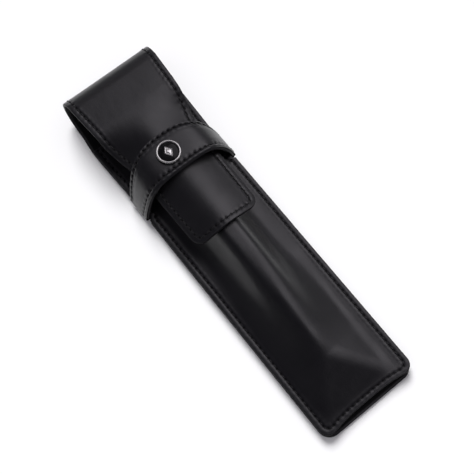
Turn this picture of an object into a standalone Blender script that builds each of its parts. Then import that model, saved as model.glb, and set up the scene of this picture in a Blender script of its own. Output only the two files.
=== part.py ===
"""Fountain pen case: a sewn leather pouch for one pen, with a fold-over flap and a keeper strap.

The case lies on its back. x runs across it, y from the pouch's bottom edge towards the fold,
z up from the rest face. Dimensions are in millimetres and become metres in the part's frame,
whose origin is the middle of the rest face.
"""
import math

import bmesh
import bpy
from mathutils import Matrix, Vector

MM = 0.001

# ---- driving dimensions ----------------------------------------------------------------------
LENGTH = 163.7              # bottom edge to the outside of the fold
POUCH_HALF_WIDTH = 21.15
MOUTH_HALF_WIDTH = 21.8     # the pouch widens a little towards its mouth
MOUTH_Y = 143.4
CORNER_RADIUS = 5.0
LEATHER = 1.2
LINING = 0.5
GAP = 0.3                   # clear space kept between pieces that touch

SEAM_INSET = 2.2            # stitch row to the leather's edge
MOUTH_ROW_CLEAR = 1.6       # the mouth's row ends this far short of the side rows
THREAD_RADIUS = 0.28
THREAD_LIFT = 0.15          # clear space under a thread that lies on leather
GROOVE_RADIUS = 0.6         # stitching groove on the rest face
SUNK_THREAD_RADIUS = 0.2

FLANGE_TOP = 4.3            # top of the front panel along the seam
RIDGE_TOP = 15.4            # crest of the moulded ridge over the pen
RIDGE_X = -0.8              # the ridge sits a little left of the middle
RIDGE_HALF = 7.6            # half width of the ridge at half its height
RIDGE_SHARPNESS = 4.2       # exponent of the ridge's section: higher has steeper sides
RIDGE_FOOT = 17.2           # where the ridge's slope meets the flat seam allowance
APEX_X = -2.0               # end of the crest, where the hip slopes begin
APEX_Y = 24.7
APEX_TOP = 10.0
TENT_FOOT = 16.0            # half width of the tent that the ridge becomes at its apex
TENT_ROUND = 0.13           # rounding of the tent's crest, as a share of its half width
HIP_BLEND = 1.4             # roundings between the slopes, and where they meet the flange
FOOT_BLEND = 0.8
HIP_FOOT_Y = 5.0
FRONT_SETBACK = 2.4         # the front's bottom edge, drawn in from the back's, in the middle
SETBACK_REACH = 13.0        # how far up the pouch that fades out
CREST_FULL_Y = 82.0         # from here to the mouth the ridge keeps one section

TONGUE_TOP = 17.8           # crest of the flap where it lies on the ridge
TONGUE_HALF_WIDTH = 14.75
TONGUE_END_Y = 83.2
TONGUE_CORNER = 4.5
TONGUE_SAG = 4.8            # how far the tongue's edges hang below its crest, at SAG_HALF
SAG_HALF = 16.0
SAG_ROUND = 0.45            # rounding of the tongue's crest, as a share of SAG_HALF
TONGUE_TAPER = 0.02         # widening of the tongue for each mm from its end
FLAP_SPREAD = 3.2           # widening of the flap above the strap
SPREAD_FROM_Y = 118.0
SPREAD_TO_Y = 140.0
FOLD_TAPER = 0.05           # widening for each mm from there to the fold
FLAT_FROM_Y = 126.0         # the flap rises and flattens between these two
FLAT_TO_Y = 143.0
FOLD_Y = 154.7              # centre of the fold
FOLD_TOP = 18.9
FOLD_HALF_WIDTH = 20.5
RISER_TAPER = 0.7           # share of the narrowing to FOLD_HALF_WIDTH done before the fold
FRONT_SPLIT_Y = 136.0       # the flap's rigid front ends here
FLAP_JOINT_GAP = 0.9        # between the flap's stretches, along its outer face
ROW_ON_FOLD = 1.3           # spacing of the flap's mesh rows
ROW_ON_FLAT = 3.2
THREAD_START_RUN = 4.2      # the flap's threads start this far round the fold, clear of the floor
THREAD_END_CLEAR = 1.3      # between a flap thread's end and the joint, so that it can bend

STRAP_TOP = 20.2
STRAP_HALF_WIDTH = 22.1
STRAP_SQUARENESS = 5.0      # exponent of the arch: higher is boxier
STRAP_NOTCH = 0.8           # the panels' edges are trimmed back this much under the strap
STRAP_NOTCH_CLEAR = 0.4     # the trimmed stretch starts this far outside the strap's edges
STRAP_NOTCH_RUN = 0.6       # and runs out over this length
STRAP_ARCH_FOOT = 3.2       # height where the arch's wall meets the wrapped end
STRAP_END_Z = 1.5           # underside of the strap's end, between the two panels
STRAP_END_X = 17.4          # how far the end reaches into the seam
STRAP_LOW_Y = (107.3, 109.9)    # lower edge at the seam and in the middle
STRAP_HIGH_Y = (118.2, 127.0)   # upper edge at the seam and in the middle
STRAP_LOW_BOW = 3.0         # exponents of the two edges' bow: higher bends them nearer the ends
STRAP_HIGH_BOW = 2.3
STRAP_LOW_ROW = 2.2         # stitch rows to the strap's two edges
STRAP_HIGH_ROW = 1.3
STRAP_LINING = 0.4
STRAP_LINING_DROP = 11.0    # how far down the arch the lining reaches, below the crest

BADGE_X = -1.5              # the badge sits over the ridge, left of the middle
BADGE_Y = 118.1
BADGE_RADIUS = 4.75
BADGE_BASE = 20.4
BADGE_HEIGHT = 1.5
BADGE_WALL = 0.75
BADGE_FLOOR = 0.35          # thickness of the cup's floor
DISC_CLEAR = 0.2            # round the disc, under it and over it
DISC_HEIGHT = 0.6           # with its domed top
DOME_RISE = 0.4
EMBLEM_LENGTH = 5.0
EMBLEM_ASPECT = 0.68        # width by length
EMBLEM_HEIGHT = 0.4
WASHER_RADIUS = 3.4
WASHER_THICKNESS = 0.4
POST_RADIUS = 1.1

# ---- where the pouch's mesh has rows and columns, closer together where it bends ---------------
HIP_ROWS = (7.5, 10.5, 13.5, 16.0, 18.0, 19.5, 21.0, 22.5, 24.5)
RIDGE_ROWS = (28.0, 34.0, 42.0, 51.0, 60.0, 69.0, 76.0)
UPPER_ROWS = (124.0, 130.0, 136.0)
SEAM_SIDE_ROWS = (120.5, CREST_FULL_Y, 51.0, 28.0, 16.0)    # for the seam's threads
RIDGE_COLUMNS = (0.05, 0.14, 0.21, 0.27, 0.32, 0.37, 0.43, 0.5, 0.6, 0.7, 0.8, 0.86, 0.93, 1)

# ---- derived dimensions ------------------------------------------------------------------------
THREAD_RISE = THREAD_LIFT + 2 * THREAD_RADIUS    # how far a thread stands off its leather
MIDDLE_Y = (LENGTH + THREAD_RISE) / 2
FOLD_REACH = LENGTH - FOLD_Y
FOLD_RISE = FOLD_TOP / 2
RISER_RUN = FOLD_Y - MOUTH_Y
ARC_RUN = math.pi * (FOLD_REACH + FOLD_RISE) / 2
TOP_RUN = FOLD_Y - TONGUE_END_Y
FLAP_RUN = RISER_RUN + ARC_RUN + TOP_RUN


# ---- small helpers -----------------------------------------------------------------------------
def world(x, y, z):
    """A point of the case, in metres, in the part's frame."""
    return Vector((x, y - MIDDLE_Y, z)) * MM


def mix(start, end, amount):
    return start + (end - start) * amount


def ramp(value, start, end):
    """Smooth step from 0 at start to 1 at end."""
    amount = min(max((value - start) / (end - start), 0.0), 1.0)
    return amount * amount * (3 - 2 * amount)


def soft_min(first, second, blend):
    overlap = max(blend - abs(first - second), 0.0) / blend
    return min(first, second) - overlap * overlap * blend / 4


def soft_max(first, second, blend):
    return -soft_min(-first, -second, blend)


def rounded_end(half_width, radius, distance):
    """Half width at a distance from an end whose corners are rounded."""
    if distance >= radius:
        return half_width
    inward = radius - max(distance, 0.0)
    return half_width - radius + math.sqrt(radius * radius - inward * inward)


def even_steps(start, end, count):
    return [mix(start, end, index / count) for index in range(count + 1)]


# ---- shapes of the leather ---------------------------------------------------------------------
def pouch_half_width(y):
    straight = mix(POUCH_HALF_WIDTH, MOUTH_HALF_WIDTH, ramp(y, SPREAD_FROM_Y, MOUTH_Y))
    before, after = STRAP_LOW_Y[0] - STRAP_NOTCH_CLEAR, STRAP_HIGH_Y[0] + STRAP_NOTCH_CLEAR
    notch = ramp(y, before - STRAP_NOTCH_RUN, before)
    notch *= 1 - ramp(y, after, after + STRAP_NOTCH_RUN)
    return rounded_end(straight - STRAP_NOTCH * notch, CORNER_RADIUS, y)


def crest_rise(y):
    """Height of the ridge's crest above the seam allowance."""
    along = min(max((y - APEX_Y) / (CREST_FULL_Y - APEX_Y), 0.0), 1.0)
    return mix(APEX_TOP, RIDGE_TOP, math.sin(along * math.pi / 2)) - FLANGE_TOP


def rounded_slope(share, rounding):
    """A straight slope from 0 at share 0 to 1 at share 1, whose start is rounded."""
    return (math.hypot(share, rounding) - rounding) / (math.hypot(1, rounding) - rounding)


def ridge_section(x, y):
    """Share of the crest's height at x: a bell over the pen that becomes a tent near the bottom."""
    across = abs(x - mix(APEX_X, RIDGE_X, ramp(y, APEX_Y, CREST_FULL_Y)))
    bell = 1 / (1 + (across / RIDGE_HALF) ** RIDGE_SHARPNESS)
    foot = 1 / (1 + (RIDGE_FOOT / RIDGE_HALF) ** RIDGE_SHARPNESS)
    bell = (bell - foot) / (1 - foot)
    tent = 1 - rounded_slope(across / TENT_FOOT, TENT_ROUND)
    return mix(tent, bell, ramp(y, APEX_Y + 2, CREST_FULL_Y - 4))


def front_y(x, y):
    """Where the front's flat pattern comes to lie, as moulding it over the pens drew its end in."""
    middle = 1 - abs(x / POUCH_HALF_WIDTH) ** 3
    return y + FRONT_SETBACK * middle * (1 - ramp(y, 0, SETBACK_REACH))


def front_height(x, y):
    """Top of the front panel."""
    slope = crest_rise(y) * ridge_section(x, y)
    hip = (APEX_TOP - FLANGE_TOP) * (y - HIP_FOOT_Y) / (APEX_Y - HIP_FOOT_Y)
    return FLANGE_TOP + soft_max(soft_min(slope, hip, HIP_BLEND), 0.0, FOOT_BLEND)


def flap_top(x, y):
    """Outer face of the flap above the pouch."""
    flat = ramp(y, FLAT_FROM_Y, FLAT_TO_Y)
    sag = TONGUE_SAG * (1 - flat) * rounded_slope((x - RIDGE_X) / SAG_HALF, SAG_ROUND)
    return mix(TONGUE_TOP, FOLD_TOP, flat) - sag


def flap_half_width(y):
    """Half width of the flap above the pouch, tapering from the fold to the tongue's end."""
    width = TONGUE_HALF_WIDTH + TONGUE_TAPER * (y - TONGUE_END_Y)
    width += FLAP_SPREAD * ramp(y, SPREAD_FROM_Y, SPREAD_TO_Y)
    width += FOLD_TAPER * max(y - SPREAD_TO_Y - 1, 0.0)
    return rounded_end(width, TONGUE_CORNER, y - TONGUE_END_Y)


def riser_half_width(share):
    """Half width of the flap between the mouth and the fold."""
    return mix(MOUTH_HALF_WIDTH, FOLD_HALF_WIDTH, RISER_TAPER * ramp(share, 0, 1))


def flap_section(run, inset=0.0):
    """Half width, and a function from x to (y, z), at a distance along the flap from the mouth."""
    if run < RISER_RUN:
        y = MOUTH_Y + run
        return riser_half_width(run / RISER_RUN) - inset, lambda x: (y, 0.0)
    if run < RISER_RUN + ARC_RUN:
        share = (run - RISER_RUN) / ARC_RUN
        angle = math.pi * share
        y = FOLD_Y + FOLD_REACH * math.sin(angle)
        z = FOLD_RISE * (1 - math.cos(angle))
        half_width = mix(riser_half_width(1), flap_half_width(FOLD_Y), share)
        return half_width - inset, lambda x: (y, z)
    y = FOLD_Y - (run - RISER_RUN - ARC_RUN)
    return flap_half_width(y) - inset, lambda x: (y, flap_top(x, y))


def flap_rows(first, last):
    """Rows along the flap, close together round the fold and further apart where it is flatter."""
    rows = [first]
    while rows[-1] < last:
        on_fold = RISER_RUN - 1 < rows[-1] < RISER_RUN + ARC_RUN
        rows.append(rows[-1] + (ROW_ON_FOLD if on_fold else ROW_ON_FLAT))
    stretch = (last - first) / (rows[-1] - first)
    return [first + (row - first) * stretch for row in rows]


def flap_point(across, run, inset=0.0):
    """A point of the flap's outer face. across is -1 at the right edge and 1 at the left edge."""
    half_width, section = flap_section(run, inset)
    x = -across * half_width
    y, z = section(x)
    return world(x, y, z)


def strap_profile():
    """The strap's outer face seen along y: one seam end, up over the arch, the other seam end."""
    arch = []
    for index in range(41):
        angle = math.pi / 2 * index / 40
        across = math.sin(angle) ** (2 / STRAP_SQUARENESS)
        rise = math.cos(angle) ** 2
        arch.append((STRAP_HALF_WIDTH * across, mix(STRAP_ARCH_FOOT, STRAP_TOP, rise)))
    radius = STRAP_ARCH_FOOT - STRAP_END_Z
    curl = []
    for angle in even_steps(0, math.pi / 2, 4)[1:]:
        curl.append((STRAP_HALF_WIDTH - radius * (1 - math.cos(angle)),
                     STRAP_ARCH_FOOT - radius * math.sin(angle)))
    half = arch + curl + [(STRAP_END_X, STRAP_END_Z)]
    return [(-x, z) for x, z in reversed(half[1:])] + half


def path_lengths(path):
    lengths = [0.0]
    for (x0, z0), (x1, z1) in zip(path, path[1:]):
        lengths.append(lengths[-1] + math.hypot(x1 - x0, z1 - z0))
    return lengths


def along_path(path, lengths, distance):
    for index in range(len(path) - 1):
        if distance <= lengths[index + 1] or index == len(path) - 2:
            span = lengths[index + 1] - lengths[index]
            share = (distance - lengths[index]) / span
            return (mix(path[index][0], path[index + 1][0], share),
                    mix(path[index][1], path[index + 1][1], share))


def strap_edges(x, z):
    """Lower and upper edge of the strap at x on its arch. Its wrapped ends have one width."""
    across = min(abs(x) / STRAP_HALF_WIDTH, 1.0) if z > STRAP_ARCH_FOOT else 1.0
    low = mix(STRAP_LOW_Y[1], STRAP_LOW_Y[0], across ** STRAP_LOW_BOW)
    high = mix(STRAP_HIGH_Y[1], STRAP_HIGH_Y[0], across ** STRAP_HIGH_BOW)
    return low, high


# ---- building blocks ---------------------------------------------------------------------------
def collection(name):
    made = bpy.data.collections.new(name)
    bpy.context.scene.collection.children.link(made)
    return made


def material(name, colour, roughness, metallic=0.0):
    made = bpy.data.materials.new(name)
    made.use_nodes = True
    shader = made.node_tree.nodes["Principled BSDF"]
    shader.inputs["Base Color"].default_value = (*colour, 1.0)
    shader.inputs["Roughness"].default_value = roughness
    shader.inputs["Metallic"].default_value = metallic
    made.diffuse_color = (*colour, 1.0)
    return made


def place(obj, parent, home):
    """Links an object made in the part's frame, with its origin on its parent's joint axis."""
    origin = parent.matrix_world.translation.copy() if parent else Vector((0, 0, 0))
    obj.data.transform(Matrix.Translation(-origin))
    obj.parent = parent
    home.objects.link(obj)
    return obj


def mesh_object(name, mesh_edit, look, parent, home):
    mesh = bpy.data.meshes.new(name)
    mesh_edit.to_mesh(mesh)
    mesh_edit.free()
    mesh.materials.append(look)
    mesh.shade_smooth()
    mesh.set_sharp_from_angle(angle=math.radians(40))
    return place(bpy.data.objects.new(name, mesh), parent, home)


def sheet(name, point, columns, rows, thickness, look, parent, home, depth=0.0):
    """A sheet of leather or lining: an open surface with Solidify.

    point takes (column value, row value) and gives the outer face. depth moves the whole sheet
    inwards along its normals, for a lining that lies behind the leather.
    """
    edit = bmesh.new()
    across, along = len(columns) - 1, len(rows) - 1
    bmesh.ops.create_grid(edit, x_segments=across, y_segments=along, size=0.5)
    for vertex in edit.verts:
        column = round((vertex.co.x + 0.5) * across)
        row = round((vertex.co.y + 0.5) * along)
        vertex.co = point(columns[column], rows[row])
    edit.normal_update()
    if depth:
        moves = [(vertex, vertex.normal * depth * MM) for vertex in edit.verts]
        for vertex, move in moves:
            vertex.co -= move
    obj = mesh_object(name, edit, look, parent, home)
    solid = obj.modifiers.new("thickness", "SOLIDIFY")
    solid.thickness = thickness * MM
    solid.offset = -1
    solid.use_even_offset = True
    return obj


def thread(name, points, radius, look, parent, home):
    """A thread laid along a row of stitches, as one round tube."""
    curve = bpy.data.curves.new(name, "CURVE")
    curve.dimensions = "3D"
    spline = curve.splines.new("POLY")
    spline.points.add(len(points) - 1)
    for knot, point in zip(spline.points, points):
        knot.co = (*point, 1.0)
    curve.bevel_depth = radius * MM
    curve.bevel_resolution = 1
    curve.use_fill_caps = True
    curve.materials.append(look)
    return place(bpy.data.objects.new(name, curve), parent, home)


def turned(name, profile, steps, look, home, centre):
    """A turned piece: its half section, outer side from top to bottom, with a Screw modifier."""
    edit = bmesh.new()
    knots = [edit.verts.new((radius * MM, 0, z * MM)) for radius, z in profile]
    for first, second in zip(knots, knots[1:]):
        edit.edges.new((first, second))
    if profile[0][0] > 0:
        edit.edges.new((knots[-1], knots[0]))
    mesh = bpy.data.meshes.new(name)
    edit.to_mesh(mesh)
    edit.free()
    mesh.materials.append(look)
    obj = bpy.data.objects.new(name, mesh)
    home.objects.link(obj)
    obj.location = world(*centre, 0.0)
    screw = obj.modifiers.new("turn", "SCREW")
    screw.steps = steps
    screw.render_steps = steps
    screw.use_merge_vertices = True
    screw.merge_threshold = 0.00001
    screw.use_smooth_shade = True
    return obj


def cut(obj, cutter):
    boolean = obj.modifiers.new("cut_" + cutter.name, "BOOLEAN")
    boolean.operation = "DIFFERENCE"
    boolean.object = cutter
    boolean.solver = "EXACT"


def hide_cutter(obj):
    obj.hide_render = True
    obj.display_type = "WIRE"
    return obj


def round_cutter(name, radius, low, high, centre, home):
    edit = bmesh.new()
    bmesh.ops.create_cone(edit, cap_ends=True, segments=24, radius1=radius * MM,
                          radius2=radius * MM, depth=(high - low) * MM)
    mesh = bpy.data.meshes.new(name)
    edit.to_mesh(mesh)
    edit.free()
    obj = bpy.data.objects.new(name, mesh)
    obj.location = world(*centre, (low + high) / 2)
    home.objects.link(obj)
    return hide_cutter(obj)


def box_cutter(name, low, high, home):
    edit = bmesh.new()
    bmesh.ops.create_cube(edit, size=1.0)
    size = Vector(high) - Vector(low)
    bmesh.ops.scale(edit, vec=size * MM, verts=edit.verts)
    mesh = bpy.data.meshes.new(name)
    edit.to_mesh(mesh)
    edit.free()
    obj = bpy.data.objects.new(name, mesh)
    obj.location = world(*((Vector(high) + Vector(low)) / 2))
    home.objects.link(obj)
    return hide_cutter(obj)


def as_cutter_mesh(obj, home):
    """A curve's evaluated tube as a closed mesh that a Boolean can use."""
    evaluated = obj.evaluated_get(bpy.context.evaluated_depsgraph_get())
    mesh = bpy.data.meshes.new_from_object(evaluated)
    edit = bmesh.new()
    edit.from_mesh(mesh)
    bmesh.ops.remove_doubles(edit, verts=edit.verts, dist=0.000001)
    edit.to_mesh(mesh)
    edit.free()
    made = bpy.data.objects.new(obj.name + "_cutter", mesh)
    made.matrix_world = obj.matrix_world
    home.objects.link(made)
    bpy.data.objects.remove(obj)
    return hide_cutter(made)


def axis_empty(name, y, z, parent, home):
    """An empty on a joint's axis, which carries the pieces that the joint moves."""
    empty = bpy.data.objects.new(name, None)
    empty.empty_display_size = 5 * MM
    position = world(0, y, z)
    empty.location = position - (parent.matrix_world.translation if parent else Vector((0, 0, 0)))
    empty.parent = parent
    home.objects.link(empty)
    bpy.context.view_layer.update()
    return empty


# ---- rows and columns of the sheets ------------------------------------------------------------
def corner_rows(radius):
    """Rows through a rounded end, closer together at its start."""
    return [radius * (1 - math.cos(angle)) for angle in even_steps(0, math.pi / 2, 6)]


def panel_rows(end):
    """Rows of a pouch panel: rounded corners, hip slopes, then longer stretches to the mouth."""
    rows = corner_rows(CORNER_RADIUS)
    rows += [*HIP_ROWS, *RIDGE_ROWS, CREST_FULL_Y]
    outer = STRAP_NOTCH_CLEAR + STRAP_NOTCH_RUN
    rows += [STRAP_LOW_Y[0] - outer, STRAP_LOW_Y[0] - STRAP_NOTCH_CLEAR,
             STRAP_HIGH_Y[0] + STRAP_NOTCH_CLEAR, STRAP_HIGH_Y[0] + outer]
    return rows + [*UPPER_ROWS, end]


def seam_path(place_on, end_inset):
    """The seam's stitch row: down the left side, round the bottom, up the right side."""
    radius = CORNER_RADIUS - SEAM_INSET
    side = [MOUTH_Y - end_inset, *reversed(UPPER_ROWS), *SEAM_SIDE_ROWS]
    corner_x = POUCH_HALF_WIDTH - CORNER_RADIUS
    right = [(corner_x * share, SEAM_INSET) for share in even_steps(0, 0.8, 4)]
    for angle in even_steps(0, math.pi / 2, 5):
        right.append((corner_x + radius * math.sin(angle),
                      CORNER_RADIUS - radius * math.cos(angle)))
    right += [(pouch_half_width(y) - SEAM_INSET, y) for y in reversed(side)]
    outline = [(-x, y) for x, y in reversed(right[1:])] + right
    return [place_on(x, y) for x, y in outline]


# ---- pouch -------------------------------------------------------------------------------------
def build_pouch(looks, home, cutters):
    flat_columns = even_steps(-1, 1, 4)
    rows = panel_rows(MOUTH_Y)

    def back_face(across, y):
        return world(-across * pouch_half_width(y), y, 0.0)

    back = sheet("back_panel", back_face, flat_columns, rows, LEATHER,
                 looks["back_panel"], None, home)

    def back_lining_face(across, y):
        half_width = pouch_half_width(y) - GAP
        return world(-across * half_width, y, LEATHER + GAP)

    lining_rows = [max(y, GAP) for y in panel_rows(MOUTH_Y - GAP)]
    back_lining = sheet("back_lining", back_lining_face, flat_columns, lining_rows[1:], LINING,
                        looks["back_lining"], None, home)

    ridge_columns = [-column for column in reversed(RIDGE_COLUMNS)] + list(RIDGE_COLUMNS)

    def on_front(x, y, lift=0.0):
        y = front_y(x, y)
        return world(x, y, front_height(x, y) + lift)

    def front_face(across, y):
        return on_front(across * pouch_half_width(y), y)

    sheet("front_panel", front_face, ridge_columns, rows, LEATHER,
          looks["front_panel"], None, home)

    def front_lining_face(across, y):
        return on_front(across * (pouch_half_width(y) - GAP), y)

    front_lining = sheet("front_lining", front_lining_face, ridge_columns, lining_rows[1:],
                         LINING, looks["front_lining"], None, home, depth=LEATHER + GAP)

    for side, name in ((-1, "strap_end_left_cutter"), (1, "strap_end_right_cutter")):
        inner, outer = side * (STRAP_END_X - 0.5), side * (STRAP_HALF_WIDTH + 2)
        notch = box_cutter(name, (min(inner, outer), STRAP_LOW_Y[0] - STRAP_NOTCH_CLEAR, LEATHER),
                           (max(inner, outer), STRAP_HIGH_Y[0] + STRAP_NOTCH_CLEAR, FLANGE_TOP),
                           cutters)
        cut(back_lining, notch)
        cut(front_lining, notch)

    front_row = seam_path(lambda x, y: on_front(x, y, THREAD_LIFT + THREAD_RADIUS), 1.0)
    thread("seam_thread_front", front_row, THREAD_RADIUS, looks["seam_thread_front"], None, home)

    groove = thread("stitching_groove", seam_path(lambda x, y: world(x, y, 0.0), 0.6), GROOVE_RADIUS,
                    looks["seam_thread_back"], None, cutters)
    bpy.context.view_layer.update()
    cut(back, as_cutter_mesh(groove, cutters))
    back_row = seam_path(lambda x, y: world(x, y, SUNK_THREAD_RADIUS + 0.02), 1.0)
    thread("seam_thread_back", back_row, SUNK_THREAD_RADIUS, looks["seam_thread_back"], None, home)

    mouth_row = []
    for across in even_steps(-1, 1, 24):
        x = across * (MOUTH_HALF_WIDTH - SEAM_INSET - MOUTH_ROW_CLEAR)
        y = MOUTH_Y - SEAM_INSET
        slope = (front_height(x + 0.1, y) - front_height(x - 0.1, y)) / 0.2
        normal = Vector((-slope, 0, 1)).normalized() * (THREAD_LIFT + THREAD_RADIUS)
        mouth_row.append(world(x + normal.x, y, front_height(x, y) + normal.z))
    thread("mouth_thread", mouth_row, THREAD_RADIUS, looks["mouth_thread"], None, home)


# ---- keeper strap and badge --------------------------------------------------------------------
def build_strap(looks, home, cutters):
    path = strap_profile()
    lengths = path_lengths(path)
    total = lengths[-1]

    def strap_point(distance, share):
        x, z = along_path(path, lengths, distance)
        low, high = strap_edges(x, z)
        return world(x, mix(low, high, share), z)

    widths = even_steps(0, 1, 4)
    wrapped = total - lengths[path.index((STRAP_HALF_WIDTH, STRAP_ARCH_FOOT))]
    stations = [0.0, wrapped * 0.6, wrapped * 0.75, wrapped * 0.88]
    arch = even_steps(wrapped, total - wrapped, 40)
    stations = stations + arch + [total - station for station in reversed(stations)]
    strap = sheet("strap", strap_point, stations, widths, LEATHER, looks["strap"], None, home)
    cut(strap, round_cutter("strap_post_cutter", POST_RADIUS + GAP, STRAP_TOP - 3, STRAP_TOP + 3,
                            (BADGE_X, BADGE_Y), cutters))

    reach = next(length for (x, z), length in zip(path, lengths)
                 if z >= STRAP_TOP - STRAP_LINING_DROP)

    def lining_point(distance, y_share):
        x, z = along_path(path, lengths, distance)
        low, high = strap_edges(x, z)
        return world(x, mix(low + GAP, high - GAP, y_share), z)

    lining = sheet("strap_lining", lining_point, even_steps(reach, total - reach, 30),
                   even_steps(0, 1, 3), STRAP_LINING, looks["strap_lining"], None, home,
                   depth=LEATHER + GAP)
    cut(lining, round_cutter("washer_room_cutter", 4.0, STRAP_TOP - 4, STRAP_TOP - 0.8,
                             (BADGE_X, BADGE_Y), cutters))

    def stitch_row(from_low, from_high):
        points = []
        for distance in even_steps(reach - 1.5, total - reach + 1.5, 36):
            x, z = along_path(path, lengths, distance)
            before = along_path(path, lengths, distance - 0.2)
            after = along_path(path, lengths, distance + 0.2)
            tangent = Vector((after[0] - before[0], after[1] - before[1])).normalized()
            low, high = strap_edges(x, z)
            y = low + from_low if from_low else high - from_high
            lift = THREAD_LIFT + THREAD_RADIUS
            points.append(world(x - tangent.y * lift, y, z + tangent.x * lift))
        return points

    thread("strap_thread_upper", stitch_row(0, STRAP_HIGH_ROW), THREAD_RADIUS,
           looks["strap_thread_upper"], None, home)
    thread("strap_thread_lower", stitch_row(STRAP_LOW_ROW, 0), THREAD_RADIUS,
           looks["strap_thread_lower"], None, home)


def build_badge(looks, home):
    centre = (BADGE_X, BADGE_Y)
    rim = BADGE_BASE + BADGE_HEIGHT
    floor = BADGE_BASE + BADGE_FLOOR
    inner = BADGE_RADIUS - BADGE_WALL
    turned("badge_bezel", [(0, floor), (inner, floor), (inner, rim - 0.25), (inner + 0.2, rim),
                           (BADGE_RADIUS - 0.25, rim), (BADGE_RADIUS, rim - 0.35),
                           (BADGE_RADIUS, BADGE_BASE + 0.2), (BADGE_RADIUS - 0.2, BADGE_BASE),
                           (0, BADGE_BASE)], 36, looks["badge_bezel"], home, centre)
    disc = floor + DISC_CLEAR
    disc_radius = inner - DISC_CLEAR
    dome = [(disc_radius * math.sin(angle), disc + DISC_HEIGHT - DOME_RISE * (1 - math.cos(angle)))
            for angle in even_steps(0, math.pi / 2, 5)]
    turned("badge_disc", dome + [(disc_radius, disc), (0, disc)], 32, looks["badge_disc"],
           home, centre)

    edit = bmesh.new()
    bmesh.ops.create_cone(edit, cap_ends=True, segments=4, radius1=EMBLEM_LENGTH / 2 * MM,
                          radius2=0.5 * MM, depth=EMBLEM_HEIGHT * MM)
    bmesh.ops.scale(edit, vec=(EMBLEM_ASPECT, 1.0, 1.0), verts=edit.verts)
    middle = disc + DISC_HEIGHT + DISC_CLEAR + EMBLEM_HEIGHT / 2
    bmesh.ops.translate(edit, vec=world(BADGE_X, BADGE_Y, middle), verts=edit.verts)
    mesh = bpy.data.meshes.new("badge_emblem")
    edit.to_mesh(mesh)
    edit.free()
    mesh.materials.append(looks["badge_emblem"])
    home.objects.link(bpy.data.objects.new("badge_emblem", mesh))

    behind = STRAP_TOP - LEATHER - GAP
    back = behind - WASHER_THICKNESS
    turned("badge_washer", [(POST_RADIUS + 0.3, behind), (WASHER_RADIUS, behind),
                            (WASHER_RADIUS, back), (POST_RADIUS + 0.3, back)], 32,
           looks["badge_washer"], home, centre)
    turned("badge_rivet", [(0, BADGE_BASE - 0.2), (POST_RADIUS, BADGE_BASE - 0.2),
                           (POST_RADIUS, back + 0.1), (POST_RADIUS - 0.2, back), (0, back)], 24,
           looks["badge_rivet"], home, centre)


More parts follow.
